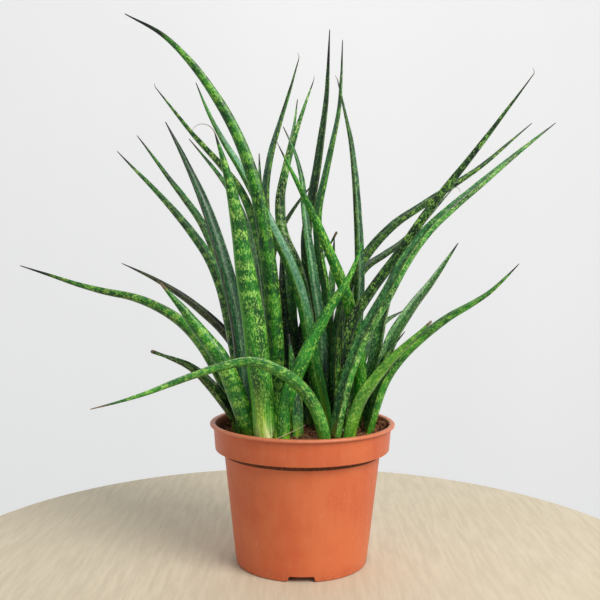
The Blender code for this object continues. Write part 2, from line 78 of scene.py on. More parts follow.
# Round lamps: name, place, the point it faces, size, power in watts and colour.
LAMPS = (
    ("key", (0.82, -0.82, 1.0), (0, 0, 0.15), 0.9, 21, (1.0, 0.97, 0.93)),
    ("fill", (-0.9, -0.9, 0.6), (0, 0, 0.15), 0.9, 1.2, (0.94, 0.97, 1.0)),
    ("wall_light", (0.0, 0.9, 1.9), (0, WALL_DISTANCE, 0.4), 1.6, 5, (1.0, 1.0, 1.0)),
)

# ------------ leaf shape

LEAF_STEP = 2.6 * MM
TIP_BUNCHING = 0.93
TIP_RADIUS = 0.32 * MM
SECTION_SAMPLES = 30
RIB_COUNT = 11
RIB_DEPTH = 0.05 * MM
RIPPLE = 0.16 * MM
RIPPLE_STEP = 9 * MM
WIDTH_WANDER = 0.03
WIDTH_STEP = 24 * MM
BEND_WANDER = 0.25 * MM
BEND_STEP = 30 * MM
# These fade out over the leaf's last stretch, and its section turns round over a shorter one.
CALM_TIP = 30 * MM
ROUND_TIP = 16 * MM
HAIR_ROOT = 0.26 * MM
HAIR_TIP = 0.07 * MM
HAIR_POINTS = 16
# In the CAD section, channel to back and margin to margin, in half thicknesses and half widths.
CAD_CHANNEL_TO_BACK = 1.08
CAD_MARGINS = 1.96
# Each leaf reads its pattern this many mm further along, so that no two are alike.
PATTERN_SHIFT = 37.0

# The section of a leaf in half widths across and half thicknesses towards its channel.
FINE_SECTION = (
    (0.99, 0.43), (0.86, 0.44), (0.62, 0.26), (0.32, 0.11), (0.0, 0.05),
    (-0.32, 0.11), (-0.62, 0.26), (-0.86, 0.44), (-0.99, 0.43), (-1.0, 0.14),
    (-0.92, -0.26), (-0.76, -0.60), (-0.52, -0.84), (-0.26, -0.97), (0.0, -1.0),
    (0.26, -0.97), (0.52, -0.84), (0.76, -0.60), (0.92, -0.26), (1.0, 0.14),
)

# Leaves are named here without their ending _leaf.
# Dry hairs at leaf tips, as steps to the right and up from the tip in mm.
HAIRS = dict(
    broad_banded=((-3.0, 3.7), (-7.4, 5.0), (-11.2, 3.7), (-13.7, 0.6)),
    tall_right=((0.2, 1.6), (-0.8, 4.2)),
    right_rear=((2.5, 0.5), (4.5, -1.5), (5.0, -4.0)),
    inner_upright=((-0.3, 2.0), (-1.2, 4.0)),
    bowed_upright=((0.4, 2.0), (0.4, 4.0)),
    upright_front_right=((-0.8, 1.2), (-1.4, 2.8)),
    bright_crossing=((-1.0, 2.4), (-2.4, 4.6)),
    left_slender=((-0.6, 1.8), (-0.6, 3.2)),
    wide_left=((-1.2, 0.8), (-2.0, 2.0)),
)

# Tips that ended early, with the radius of the dry stub in mm.
BLUNT = dict(
    short_low_left=1.5,
    broken_right=1.0,
    short_brown_tipped=1.1,
    wide_left=0.7,
    back_short=0.8,
)

# ------------ leaf looks, colours in sRGB

FLECK_CONTRAST = 1.75
BAND_WEIGHT = 0.17
LEAF_GAMMA = 1.22
LEAF_LIFT = 1.5

# sheen is the channel's colour: the leaf's waxy bloom with a painted sheen on it.
PLAIN_LOOK = dict(
    dark=(22, 62, 28), mid=(50, 122, 40), pale=(146, 184, 86), sheen=(120, 158, 138), foot=(150, 180, 60),
    foot_edge=(70, 130, 40), bands=0.5, band_mm=9.0, blotch=0.5, speckle=0.5, glaucous_sheen=0.3, stripe=0.0,
    foot_mm=14.0, black_mm=12.0, dry_mm=1.0, bands_from=0.0, bright_side=0.0, sheen_and_bloom_from=0.0, cream=0.0,
)

# The leaves that only darken the gaps in the middle of the clump; their near-black greens are painted shade.
PAINTED_SHADE_LOOK = dict(dark=(12, 30, 18), mid=(26, 60, 28), speckle=0.3)

# Each leaf's own look, over PLAIN_LOOK.
LOOKS = dict(
    tall_arching=dict(
        dark=(22, 68, 26), mid=(50, 124, 36), pale=(134, 178, 76), bands=1.0, band_mm=11, blotch=0.7,
        speckle=0.45, glaucous_sheen=0.1, black_mm=40,
    ),
    broad_banded=dict(
        dark=(26, 78, 28), mid=(54, 130, 38), pale=(158, 194, 100), foot=(188, 208, 84),
        foot_edge=(84, 152, 34), bands=1.1, band_mm=10, speckle=0.48, glaucous_sheen=0.05, foot_mm=46,
        black_mm=10, bands_from=100, bright_side=1.0, cream=0.9,
    ),
    dark_channelled=dict(
        dark=(16, 40, 26), mid=(30, 70, 42), pale=(104, 146, 96), sheen=(96, 150, 112), bands=0.2,
        blotch=0.4, speckle=0.35, stripe=0.2, black_mm=20,
    ),
    left_upper=dict(pale=(150, 182, 96), bands=1.0, band_mm=8, black_mm=16),
    left_rear=dict(dark=(20, 52, 26), bands=0.6, black_mm=18),
    left_slender=dict(pale=(158, 186, 100), bands=0.8, band_mm=8, speckle=0.6, glaucous_sheen=0.2, black_mm=14),
    left_hidden=dict(dark=(18, 42, 22), black_mm=18),
    long_middle=dict(
        dark=(26, 92, 30), mid=(46, 130, 38), sheen=(136, 168, 156), foot=(176, 206, 60),
        foot_edge=(60, 140, 40), bands=0.3, glaucous_sheen=0.8, foot_mm=40, sheen_and_bloom_from=100,
    ),
    inner_upright=dict(dark=(18, 42, 24), bands=0.35, glaucous_sheen=0.55),
    bowed_upright=dict(pale=(168, 192, 124), blotch=1.0, speckle=0.55, black_mm=8),
    rear_upright=dict(bands=0.6, glaucous_sheen=0.2),
    thin_centre=dict(
        dark=(18, 66, 30), mid=(36, 112, 44), foot=(120, 180, 60), foot_edge=(50, 130, 44), bands=0.2,
        blotch=0.3, speckle=0.35, glaucous_sheen=0.45, stripe=0.5, foot_mm=40, sheen_and_bloom_from=60,
    ),
    bright_crossing=dict(
        dark=(28, 96, 28), mid=(50, 138, 38), pale=(160, 196, 84), bands=0.3, blotch=0.6, speckle=0.45,
        glaucous_sheen=0.05,
    ),
    tallest_pointed=dict(dark=(18, 60, 28), sheen=(118, 172, 126), bands=0.4, glaucous_sheen=0.6, black_mm=22),
    tall_dark=dict(
        dark=(16, 38, 20), mid=(38, 88, 32), pale=(132, 168, 76), blotch=0.7, glaucous_sheen=0.15, black_mm=36,
    ),
    rear_crossing=dict(dark=(14, 34, 20), mid=(26, 62, 30), speckle=0.3),
    short_brown_tipped=dict(glaucous_sheen=0.5, black_mm=6, dry_mm=5),
    upright_front_right=dict(
        dark=(14, 44, 22), mid=(38, 92, 36), sheen=(110, 158, 124), bands=0.25, speckle=0.3, glaucous_sheen=0.36,
        stripe=0.4, black_mm=10,
    ),
    front_diagonal=dict(
        dark=(28, 92, 32), mid=(52, 134, 42), pale=(156, 192, 88), band_mm=16, speckle=0.45, glaucous_sheen=0.05,
        black_mm=1,
    ),
    low_arching=dict(
        dark=(42, 98, 44), mid=(74, 142, 56), pale=(152, 188, 96), bands=0.7, band_mm=8, blotch=0.3,
        speckle=0.45, glaucous_sheen=0.25, black_mm=14, dry_mm=10,
    ),
    short_low_left=dict(dark=(22, 42, 22), mid=(52, 92, 32), glaucous_sheen=0.05, black_mm=4, dry_mm=2),
    far_left=dict(
        dark=(28, 76, 34), mid=(60, 130, 46), pale=(150, 178, 92), bands=0.9, blotch=0.3, black_mm=26,
    ),
    wide_left=dict(
        dark=(32, 92, 34), mid=(64, 138, 44), pale=(156, 192, 90), bands=1.0, band_mm=8, blotch=0.3,
        speckle=0.45, glaucous_sheen=0.1, black_mm=4, dry_mm=7,
    ),
    left_striped=dict(
        dark=(34, 38, 26), mid=(62, 74, 40), pale=(120, 134, 76), bands=0.4, glaucous_sheen=0.1, black_mm=16,
    ),
    broken_right=dict(
        dark=(54, 108, 34), mid=(92, 142, 44), pale=(150, 180, 84), bands=0.2, speckle=0.45, glaucous_sheen=0.15,
        black_mm=5, dry_mm=4,
    ),
    far_right=dict(dark=(30, 84, 28), mid=(62, 134, 36), bands=0.6, black_mm=14),
    right_channelled=dict(
        dark=(24, 66, 30), mid=(56, 120, 50), pale=(160, 184, 122), sheen=(132, 170, 118), speckle=0.6,
        glaucous_sheen=0.5, stripe=-0.7,
    ),
    small_right=dict(mid=(50, 110, 36), black_mm=10),
    mottled_right=dict(
        dark=(28, 76, 36), mid=(66, 132, 54), pale=(166, 196, 122), blotch=0.7, speckle=0.8, glaucous_sheen=0.2,
        black_mm=10,
    ),
    long_right=dict(
        dark=(24, 72, 34), mid=(56, 134, 48), pale=(164, 196, 118), foot=(196, 160, 70),
        foot_edge=(90, 140, 44), bands=0.45, blotch=0.6, speckle=0.72, foot_mm=16, black_mm=16,
    ),
    tall_right=dict(
        dark=(16, 40, 22), mid=(32, 76, 30), pale=(132, 172, 84), blotch=0.6, glaucous_sheen=0.1, black_mm=18,
    ),
    right_striped=dict(
        dark=(18, 48, 24), mid=(42, 92, 38), bands=0.6, speckle=0.6, glaucous_sheen=0.18, stripe=0.3, black_mm=16,
    ),
    right_rear=dict(
        dark=(16, 46, 22), mid=(38, 90, 34), pale=(142, 176, 92), blotch=0.7, black_mm=8, dry_mm=4,
    ),
    shaded_middle=PAINTED_SHADE_LOOK,
    shaded_centre=PAINTED_SHADE_LOOK,
    shaded_back=PAINTED_SHADE_LOOK,
)

# ------------ soil

FIBRE_COUNT = 1500
FIBRE_POINTS = 7
FIBRE_RADII = (0.07, 0.09, 0.12, 0.17)  # mm
CRUMB_COUNT = 760
CRUMB_SIZES = (0.5, 0.6, 0.7, 0.9, 1.3)  # mm
STRAW_POINTS = 26
# What a point of the soil mesh belongs to, as the material reads it. The ground itself is 0.
CRUMB, FIBRE, STRAW = 0.33, 0.66, 1.0
SOIL_SIDES = 300
SOIL_CELL = 0.9 * MM
SOIL_ROUGH = 0.9 * MM
# The soil is heaped up against the pot's wall at the right and behind.
HEAP_PLACE = (48 * MM, 12 * MM)
HEAP_SIZE = (20 * MM, 26 * MM)
HEAP_HEIGHT = 4.5 * MM
# Single straws: points (x, y, height above the soil edge) in mm, thickness in mm, tone 0 dark to 1 pale.
STRAWS = (
    (((-19, -43, 5), (-13, -43, 8), (-6, -42, 11), (2, -41, 15)), 0.28, 1.0),
    (((-10, -40, 8), (-5, -41, 5.5), (2, -42, 3)), 0.09, 0.9),
    (((-9, -36, 9), (-2, -38, 6), (5, -42, 4)), 0.08, 0.8),
    (((23, -40, 3), (29, -38, 5), (35, -37, 4), (40, -33, 5)), 0.12, 0.7),
    (((41, 22, 5), (47, 27, 9), (51, 30, 14), (54, 31, 17)), 0.16, 0.1),
    (((30, 15, 3), (28, 9, 8), (27, 4, 14)), 0.10, 0.6),
)

# ------------ pot

POT_SEGMENTS = 192
PROFILE_STEP = 6 * MM
CORNER = 0.45 * MM
ARC_STEPS = 4
# The corner between the body and the collar's underside gets a larger arc.
SHOULDER_CORNER = 2
SHOULDER = 3.4 * MM
NOTCH_COUNT = 4
DRAIN_COUNT = 8
DRAIN_SIDES = 40
SHARP_ANGLE = math.radians(40)


# ------------ small tools


def linear(colour):
    """A colour given in sRGB steps of 255, as linear light with full alpha."""
    parts = [c / 255 for c in colour]
    return tuple(p / 12.92 if p <= 0.04045 else ((p + 0.055) / 1.055) ** 2.4 for p in parts) + (1.0,)


def unit(vectors):
    return vectors / np.maximum(np.linalg.norm(vectors, axis=-1, keepdims=True), 1e-12)


def node(tree, kind, inputs=None, **settings):
    made = tree.nodes.new("ShaderNode" + kind)
    for key, value in settings.items():
        setattr(made, key, value)
    for key, value in (inputs or {}).items():
        if isinstance(value, bpy.types.NodeSocket):
            tree.links.new(value, made.inputs[key])
        else:
            made.inputs[key].default_value = value
    return made


def calc(tree, operation, one, two=0.0, three=0.0, clamp=False):
    return node(tree, "Math", {0: one, 1: two, 2: three}, operation=operation, use_clamp=clamp).outputs[0]


def ramp(tree, value, low, high, to_low=0.0, to_high=1.0):
    """A smooth step from low to high, turned into the range to_low to to_high."""
    inputs = {"Value": value, "From Min": low, "From Max": high, "To Min": to_low, "To Max": to_high}
    return node(tree, "MapRange", inputs, interpolation_type="SMOOTHSTEP").outputs["Result"]


def times(tree, one, two, clamp=False):
    return calc(tree, "MULTIPLY", one, two, clamp=clamp)


def times_plus(tree, one, two, three):
    return calc(tree, "MULTIPLY_ADD", one, two, three)


def mix(tree, share, one, two):
    """Two colours mixed. Each is a socket or an sRGB triple."""
    one, two = (linear(c) if isinstance(c, tuple) else c for c in (one, two))
    inputs = {0: share, 6: one, 7: two}
    return node(tree, "Mix", inputs, data_type="RGBA", clamp_factor=True).outputs[2]


def noise(tree, vector, scale, detail=2.0, roughness=0.5, distortion=0.0):
    inputs = {"Vector": vector, "Scale": scale, "Detail": detail, "Roughness": roughness}
    return node(tree, "TexNoise", {**inputs, "Distortion": distortion}).outputs["Fac"]


def stretched(tree, vector, scale, shift=(0.0, 0.0, 0.0)):
    return node(tree, "Mapping", {"Vector": vector, "Scale": scale, "Location": shift}).outputs["Vector"]


def attribute(tree, name):
    return node(tree, "Attribute", attribute_name=name).outputs["Vector"]


def object_place(tree):
    return node(tree, "TexCoord").outputs["Object"]


def parts_of(tree, vector):
    return node(tree, "SeparateXYZ", {"Vector": vector}).outputs


def new_material(name, fixed):
    """A material with one Principled shader. fixed holds the shader's values that are the same all over."""
    material = bpy.data.materials.new(name)
    material.use_nodes = True
    tree = material.node_tree
    tree.nodes.clear()
    shader = node(tree, "BsdfPrincipled", fixed)
    output = node(tree, "OutputMaterial", {"Surface": shader.outputs[0]})
    output.is_active_output = True
    return material, tree, shader


def join(tree, source, shader, name):
    tree.links.new(source, shader.inputs[name])


def add_bump(tree, shader, height, strength, distance):
    bump = node(tree, "Bump", {"Height": height, "Strength": strength, "Distance": distance})
    join(tree, bump.outputs[0], shader, "Normal")


def new_object(name, data):
    obj = bpy.data.objects.new(name, data)
    bpy.context.scene.collection.objects.link(obj)
    return obj


def new_mesh(name, points, faces, material, smooth=True):
    mesh = bpy.data.meshes.new(name)
    mesh.from_pydata([tuple(p) for p in points], [], faces)
    mesh.update()
    if smooth:
        mesh.shade_smooth()
    mesh.materials.append(material)
    return new_object(name, mesh)


def coordinates(mesh):
    return np.array([v.co for v in mesh.vertices], float)


def lengths(path):
    """How far along a line each of its points is."""
    return np.concatenate([[0.0], np.cumsum(np.linalg.norm(np.diff(path, axis=0), axis=1))])


def bands_of_quads(rows, sides):
    """The quads between the rings of a tube of so many rows, each with so many points."""
    faces = []
    for row in range(rows - 1):
        low, high = row * sides, (row + 1) * sides
        faces += [(low + k, low + (k + 1) % sides, high + (k + 1) % sides, high + k) for k in range(sides)]
    return faces


def face_outwards(mesh):
    shape = bmesh.new()
    shape.from_mesh(mesh)
    bmesh.ops.recalc_face_normals(shape, faces=shape.faces)
    shape.to_mesh(mesh)
    shape.free()


def vector_attribute(obj, name, values):
    layer = obj.data.attributes.new(name, "FLOAT_VECTOR", "POINT")
    layer.data.foreach_set("vector", np.asarray(values, np.float32).ravel())


def merged(node_name):
    """A frame node's points with doubles joined, and the neighbours of each point."""
    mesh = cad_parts[node_name].data
    points, index = np.unique(np.round(coordinates(mesh), 6), axis=0, return_inverse=True)
    index = index.reshape(-1)
    beside = [set() for _ in points]
    for edge in mesh.edges:
        a, b = index[edge.vertices[0]], index[edge.vertices[1]]
        if a != b:
            beside[a].add(int(b))
            beside[b].add(int(a))
    return points, beside


# ------------ leaves


def short_name(name):
    return name.removesuffix("_leaf")


def layers_from(start, beside):
    """Points sorted by how many edges away from the start they are."""
    seen, layers = {start}, [[start]]
    while layers[-1]:
        after = sorted({b for a in layers[-1] for b in beside[a]} - seen)
        seen.update(after)
        layers.append(after)
    return layers[1:-1]


def read_sections(node_name):
    """The rings of a CAD leaf from its foot to its tip: centre, across, inner, half width, half thickness."""
    points, beside = merged(node_name)
    for start in range(len(points)):
        layers = layers_from(start, beside) if len(beside[start]) == 8 else []
        if layers and all(len(layer) == 8 for layer in layers):
            break
    else:
        raise RuntimeError(f"{node_name} has no rings of eight points")
    rows = []
    middles = [points[layer].mean(axis=0) for layer in layers]
    for place, layer in enumerate(layers):
        ring = points[layer]
        channel = layer[int(np.argmin(np.linalg.norm(ring - ring.mean(axis=0), axis=1)))]
        margins = [k for k in layer if k in beside[channel]]
        back = layer[int(np.argmax(np.linalg.norm(ring - points[margins].mean(axis=0), axis=1)))]
        outer = middles[place - 1] if place else points[start]
        along = unit(outer - middles[place])
        inner = unit(points[channel] - points[back])
        half_thickness = np.linalg.norm(points[channel] - points[back]) / CAD_CHANNEL_TO_BACK
        span = points[margins[0]] - points[margins[1]]
        across = unit(span)
        if np.cross(along, across) @ inner < 0:
            across = -across
        half_width = np.linalg.norm(span) / CAD_MARGINS
        rows.append((points[back] + inner * half_thickness, across, inner, half_width, half_thickness))
    rows.reverse()
    centres, acrosses, inners, widths, thicknesses = (np.array(column) for column in zip(*rows))
    return centres, acrosses, inners, widths, thicknesses, points[start]


def smooth_through(values, knots, places):
    """Reads a smooth curve through values at the knots, at other places along it."""
    values = np.asarray(values, float).reshape(len(knots), -1)
    slopes = np.gradient(values, knots, axis=0)
    k = np.clip(np.searchsorted(knots, places, side="right") - 1, 0, len(knots) - 2)
    step = (knots[k + 1] - knots[k])[:, None]
    t = ((places - knots[k]) / (knots[k + 1] - knots[k]))[:, None]
    square, cube = t**2, t**3
    return (
        (2 * cube - 3 * square + 1) * values[k]
        + (cube - 2 * square + t) * step * slopes[k]
        + (3 * square - 2 * cube) * values[k + 1]
        + (cube - square) * step * slopes[k + 1]
    )


def closed_section(count):
    """The fine section as a closed smooth curve of count points."""
    ends = np.array(FINE_SECTION + FINE_SECTION[:1])
    ends = np.vstack([ends[-3:-1], ends, ends[1:3]])
    knots = np.arange(len(ends), dtype=float)
    places = 2 + np.arange(count) * (len(FINE_SECTION) / count)
    return smooth_through(ends, knots, places)


def wander(rng, places, step, size):
    """A smooth random line along a leaf, of about this size, that turns about every step."""
    knots = np.arange(0, places.max() + 3 * step, step)
    values = np.array([rng.uniform(-1, 1) for _ in knots]) * size
    return smooth_through(values, knots, places)[:, 0]


def hair_line(tip, along, hair):
    """The line of a dry hair: from a leaf's tip through the hair's steps."""
    before = tip - along * 3 * MM
    steps = [tip + np.array((x, 0.0, z)) * MM for x, z in hair]
    path = np.vstack([before, tip, steps])
    knots = lengths(path)
    return smooth_through(path, knots, np.linspace(knots[1], knots[-1], HAIR_POINTS)[1:])


def build_leaf(name, material, number):
    rng = random.Random(SEED + number)
    centres, acrosses, inners, widths, thicknesses, tip = read_sections(name)
    path = np.vstack([centres, tip])
    knots = lengths(path)
    length = knots[-1]
    rows = max(int(length / LEAF_STEP), 40)
    places = np.linspace(0, 1, rows) ** TIP_BUNCHING * length
    end_radius = BLUNT.get(short_name(name), 0.0) * MM or TIP_RADIUS
    end_ratio = thicknesses[-1] / widths[-1]
    spine = smooth_through(path, knots, places)
    across = smooth_through(np.vstack([acrosses, acrosses[-1:]]), knots, places)
    inner = smooth_through(np.vstack([inners, inners[-1:]]), knots, places)
    half_width = np.interp(places, knots, np.append(widths, end_radius))
    half_thick = np.interp(places, knots, np.append(thicknesses, end_radius * max(end_ratio, 0.8)))
    along = unit(np.gradient(spine, axis=0))
    hair = HAIRS.get(short_name(name))
    if hair:
        line = hair_line(spine[-1], along[-1], hair)
        steps = len(line)
        spine = np.vstack([spine, line])
        across = np.vstack([across, np.repeat(across[-1:], steps, axis=0)])
        inner = np.vstack([inner, np.repeat(inner[-1:], steps, axis=0)])
        radii = np.linspace(HAIR_ROOT, HAIR_TIP, steps)
        half_width = np.append(half_width, radii)
        half_thick = np.append(half_thick, radii)
        places = np.append(places, length + lengths(spine[-steps - 1 :])[1:])
        along = unit(np.gradient(spine, axis=0))
    across = unit(across - (across * along).sum(1)[:, None] * along)
    inner = np.cross(along, across)
    body = np.clip((length - places) / CALM_TIP, 0, 1)
    half_width = half_width * (1 + body * wander(rng, places, WIDTH_STEP, WIDTH_WANDER))
    spine = spine + (body * wander(rng, places, BEND_STEP, BEND_WANDER))[:, None] * inner

    section = closed_section(SECTION_SAMPLES)
    turns = np.arctan2(section[:, 1] + 0.25, section[:, 0])
    off_middle = np.abs(section[:, 0])
    edge = np.clip((off_middle - 0.72) / 0.26, 0, 1) * np.clip((section[:, 1] - 0.1) / 0.3, 0, 1)
    ribs = np.cos(RIB_COUNT * turns) * RIB_DEPTH
    left_ripple = wander(rng, places, RIPPLE_STEP, RIPPLE) * body
    right_ripple = wander(rng, places, RIPPLE_STEP, RIPPLE) * body
    # Near the tip the channel closes and the section turns round.
    roundness = np.clip(1 - (length - places) / ROUND_TIP, 0, 1)[:, None]
    circle = np.stack([np.cos(turns), np.sin(turns)], axis=1)
    flat = section[None] * (1 - roundness[:, :, None]) + circle[None] * roundness[:, :, None]
    x = flat[:, :, 0] * half_width[:, None]
    y = flat[:, :, 1] * half_thick[:, None]
    swell = 1 + ribs[None] * body[:, None] / half_width[:, None]
    ripple = np.where(section[:, 0] > 0, right_ripple[:, None], left_ripple[:, None]) * edge[None]
    sideways = (x * swell)[..., None] * across[:, None]
    points = spine[:, None] + sideways + (y * swell + ripple)[..., None] * inner[:, None]

    rows = len(spine)
    sides = SECTION_SAMPLES
    faces = bands_of_quads(rows, sides)
    foot, end = rows * sides, rows * sides + 1
    centre_foot = spine[0] - inner[0] * half_thick[0] * 0.4
    centre_end = spine[-1] + along[-1] * half_width[-1] * 0.8
    faces += [(foot, (k + 1) % sides, k) for k in range(sides)]
    last = (rows - 1) * sides
    faces += [(last + k, last + (k + 1) % sides, end) for k in range(sides)]
    ends = [centre_foot, centre_end]
    obj = new_mesh(name + "_skin", np.vstack([points.reshape(-1, 3), *ends]), faces, material)

    def put(field, *values):
        """Writes three values for each point, given for each point, row or place in the section."""
        spread = np.stack([np.broadcast_to(v, (rows, sides)) for v in values], axis=2).reshape(-1, 3)
        vector_attribute(obj, field, np.vstack([spread, spread[0], spread[-1]]))

    # The pattern's own straight space in mm, where on the section a point is, and how far from soil and tip.
    along_leaf = lengths(spine)
    reach = (along_leaf - along_leaf[int(np.argmax(spine[:, 2] > SOIL_EDGE))])[:, None] / MM
    channel = np.clip((section[:, 1] + 0.02) / 0.1, 0, 1) * np.clip((0.9 - off_middle) / 0.12, 0, 1)
    put("straight", x / MM + number * PATTERN_SHIFT, y / MM, reach)
    put("marks", channel, edge, section[:, 0])
    put("spans", reach, (length - places)[:, None] / MM, 0.0)
    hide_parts(name)
    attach(obj, "root")
    return obj


def leaf_material(name, look):
    material, tree, shader = new_material(name + "_leaf", {"Specular IOR Level": 0.4})
    straight = attribute(tree, "straight")
    marks = parts_of(tree, attribute(tree, "marks"))
    spans = parts_of(tree, attribute(tree, "spans"))
    channel, edge, across = marks[0], marks[1], marks[2]
    reach, left = spans[0], spans[1]
    place = parts_of(tree, straight)

    def grain(scale, shift, detail, roughness=0.5):
        return noise(tree, stretched(tree, straight, scale, shift), 1.0, detail, roughness)

    # Ground colour: soft clouds of dark and middle green, then fine lines along the leaf.
    clouds = grain((0.20, 0.20, 0.06), (0, 0, 0), 3.0, 0.6)
    colour = mix(tree, ramp(tree, clouds, 0.36, 0.62), look["dark"], look["mid"])
    lines = grain((1.6, 1.6, 0.04), (0, 0, 0), 2.0, 0.6)
    colour = mix(tree, ramp(tree, lines, 0.5, 0.7, 0.0, 0.4), colour, look["dark"])

    # Fleck, band and blotch fields add up to one pattern, so that the bands have ragged, flecked edges.
    coarse = grain((1.05, 1.05, 0.55), (0, 0, 0), 2.0, 0.6)
    fine = grain((1.9, 1.9, 0.85), (1, 2, 3), 2.0, 0.7)
    ragged = grain((0.45, 0.45, 0.2), (4, 6, 1), 3.0, 0.7)
    warped = times_plus(tree, ragged, look["band_mm"] * 0.9, place[2])
    seeded = times_plus(tree, place[0], 0.017, calc(tree, "DIVIDE", warped, look["band_mm"] * 0.62))
    wave = node(tree, "TexNoise", {"W": seeded, "Scale": 1.0, "Detail": 0.0}, noise_dimensions="1D")
    band = ramp(tree, wave.outputs["Fac"], 0.40, 0.62, -0.5, 0.5)
    band = times(tree, band, ramp(tree, reach, look["bands_from"] - 40.0, look["bands_from"], 0.1, 1.0))
    blots = grain((0.26, 0.26, 0.10), (7, 1, 2), 2.0, 0.6)
    drive = times_plus(tree, coarse, 0.55, times(tree, fine, 0.45))
    drive = times_plus(tree, calc(tree, "SUBTRACT", drive, 0.5), FLECK_CONTRAST, 0.5)
    drive = times_plus(tree, band, look["bands"] * BAND_WEIGHT, drive)
    drive = times_plus(tree, calc(tree, "SUBTRACT", blots, 0.5), look["blotch"] * 0.5, drive)
    quiet = times(tree, channel, -0.06)
    drive = calc(tree, "ADD", drive, quiet)
    shift = 0.07 - 0.11 * look["speckle"]
    pale = mix(tree, ramp(tree, blots, 0.35, 0.65), tuple(c * 0.86 for c in look["pale"]), look["pale"])
    pale_share = ramp(tree, drive, 0.48 + shift, 0.66 + shift, 0.0, 0.82)
    colour = mix(tree, pale_share, colour, pale)
    dark_share = ramp(tree, drive, 0.45 + shift, 0.28 + shift, 0.0, 0.7)
    colour = mix(tree, dark_share, colour, look["dark"])

    # One margin may be a brighter green along its length.
    sided = ramp(tree, times_plus(tree, lines, 0.3, times(tree, across, -1.0)), 0.62, 0.86)
    sided = times(tree, sided, look["bright_side"] * 0.75)
    colour = mix(tree, sided, colour, (92, 152, 42))

    # Pale blue-green in the channel, partly the leaf's waxy bloom and partly a painted sheen, fading to the
    # tip, and a line down its middle: pale, or dark if negative.
    bloom_and_sheen = times_plus(tree, ramp(tree, fine, 0.38, 0.6), 0.45, ramp(tree, coarse, 0.4, 0.6, 0.1, 0.55))
    inward = times(tree, channel, ramp(tree, left, 18.0, 60.0, 0.15, 1.0))
    inward = times(tree, inward, ramp(tree, reach, look["sheen_and_bloom_from"] - 40.0, look["sheen_and_bloom_from"], 0.1, 1.0))
    bloom_and_sheen_share = times(tree, bloom_and_sheen, inward)
    colour = mix(tree, times(tree, bloom_and_sheen_share, look["glaucous_sheen"], clamp=True), colour, look["sheen"])
    middle = ramp(tree, calc(tree, "ABSOLUTE", across), 0.32, 0.08)
    stripe = times(tree, times(tree, middle, inward), abs(look["stripe"]))
    stripe_colour = (170, 198, 158) if look["stripe"] > 0 else look["dark"]
    colour = mix(tree, times(tree, stripe, ramp(tree, bloom_and_sheen, 0.2, 0.7, 0.4, 1.0)), colour, stripe_colour)

    # Pale, streaked foot, palest across its middle: partly the foot's own colour and partly a painted
    # highlight.
    streaks = grain((1.1, 1.1, 0.03), (5, 5, 5), 3.0, 0.6)
    low = times_plus(tree, streaks, look["foot_mm"] * 1.1, reach)
    at_foot = ramp(tree, low, look["foot_mm"] * 1.6, look["foot_mm"] * 0.4, 0.0, 0.9)
    beside = times_plus(tree, calc(tree, "ABSOLUTE", across), 0.75, streaks)
    foot = mix(tree, ramp(tree, beside, 0.62, 0.98), look["foot"], look["foot_edge"])
    foot = mix(tree, ramp(tree, drive, 0.5, 0.6, 0.0, 0.3), foot, look["pale"])
    bleached = ramp(tree, low, look["foot_mm"], look["foot_mm"] * 0.5, 0.0, look["cream"])
    foot = mix(tree, bleached, foot, (226, 224, 176))
    colour = mix(tree, at_foot, colour, foot)

    # Thin brown margins, a dark tip and a dry end.
    worn = grain((1.0, 1.0, 0.3), (8, 8, 8), 2.0)
    margin = times(tree, ramp(tree, edge, 0.6, 1.0), ramp(tree, worn, 0.3, 0.6, 0.2, 0.75))
    colour = mix(tree, margin, colour, (98, 88, 50))
    to_tip = times_plus(tree, calc(tree, "SUBTRACT", ragged, 0.5), look["black_mm"] * 1.2, left)
    blackness = ramp(tree, to_tip, look["black_mm"], look["black_mm"] * 0.4, 0.0, 0.95)
    colour = mix(tree, blackness, colour, (22, 24, 18))
    to_end = times_plus(tree, calc(tree, "SUBTRACT", worn, 0.5), look["dry_mm"] * 0.8, left)
    dryness = ramp(tree, to_end, look["dry_mm"], look["dry_mm"] * 0.4)
    dry = mix(tree, worn, (84, 66, 48), (142, 124, 100))
    colour = mix(tree, dryness, colour, dry)
    # A little more contrast all over, about the leaves' middle tone.
    colour = node(tree, "Gamma", {"Color": colour, "Gamma": LEAF_GAMMA}).outputs[0]
    colour = node(tree, "HueSaturation", {"Color": colour, "Value": LEAF_LIFT}).outputs[0]
    join(tree, colour, shader, "Base Color")

    rough = ramp(tree, clouds, 0.3, 0.7, 0.30, 0.42)
    rough = calc(tree, "ADD", rough, ramp(tree, fine, 0.4, 0.7, -0.03, 0.06))
    rough = times_plus(tree, dryness, 0.3, rough)
    join(tree, rough, shader, "Roughness")
    height = times_plus(tree, lines, 0.5, times(tree, fine, 0.35))
    height = times_plus(tree, ragged, 0.4, height)
    add_bump(tree, shader, height, 0.25, 0.0006)
    return material


# ------------ pot


def pot_levels():
    """The heights at which the frame's pot has full rings of points, with the radii found at each."""
    points, _ = merged("nursery_pot")
    radius = np.round(np.hypot(points[:, 0], points[:, 1]) / MM, 1)
    height = np.round(points[:, 2] / MM, 2)
    found = {}
    for z in np.unique(height):
        radii, counts = np.unique(radius[height == z], return_counts=True)
        kept = [float(r) * MM for r, c in zip(radii, counts) if c >= RING_POINTS]
        if kept:
            found[float(z) * MM] = kept
    return found


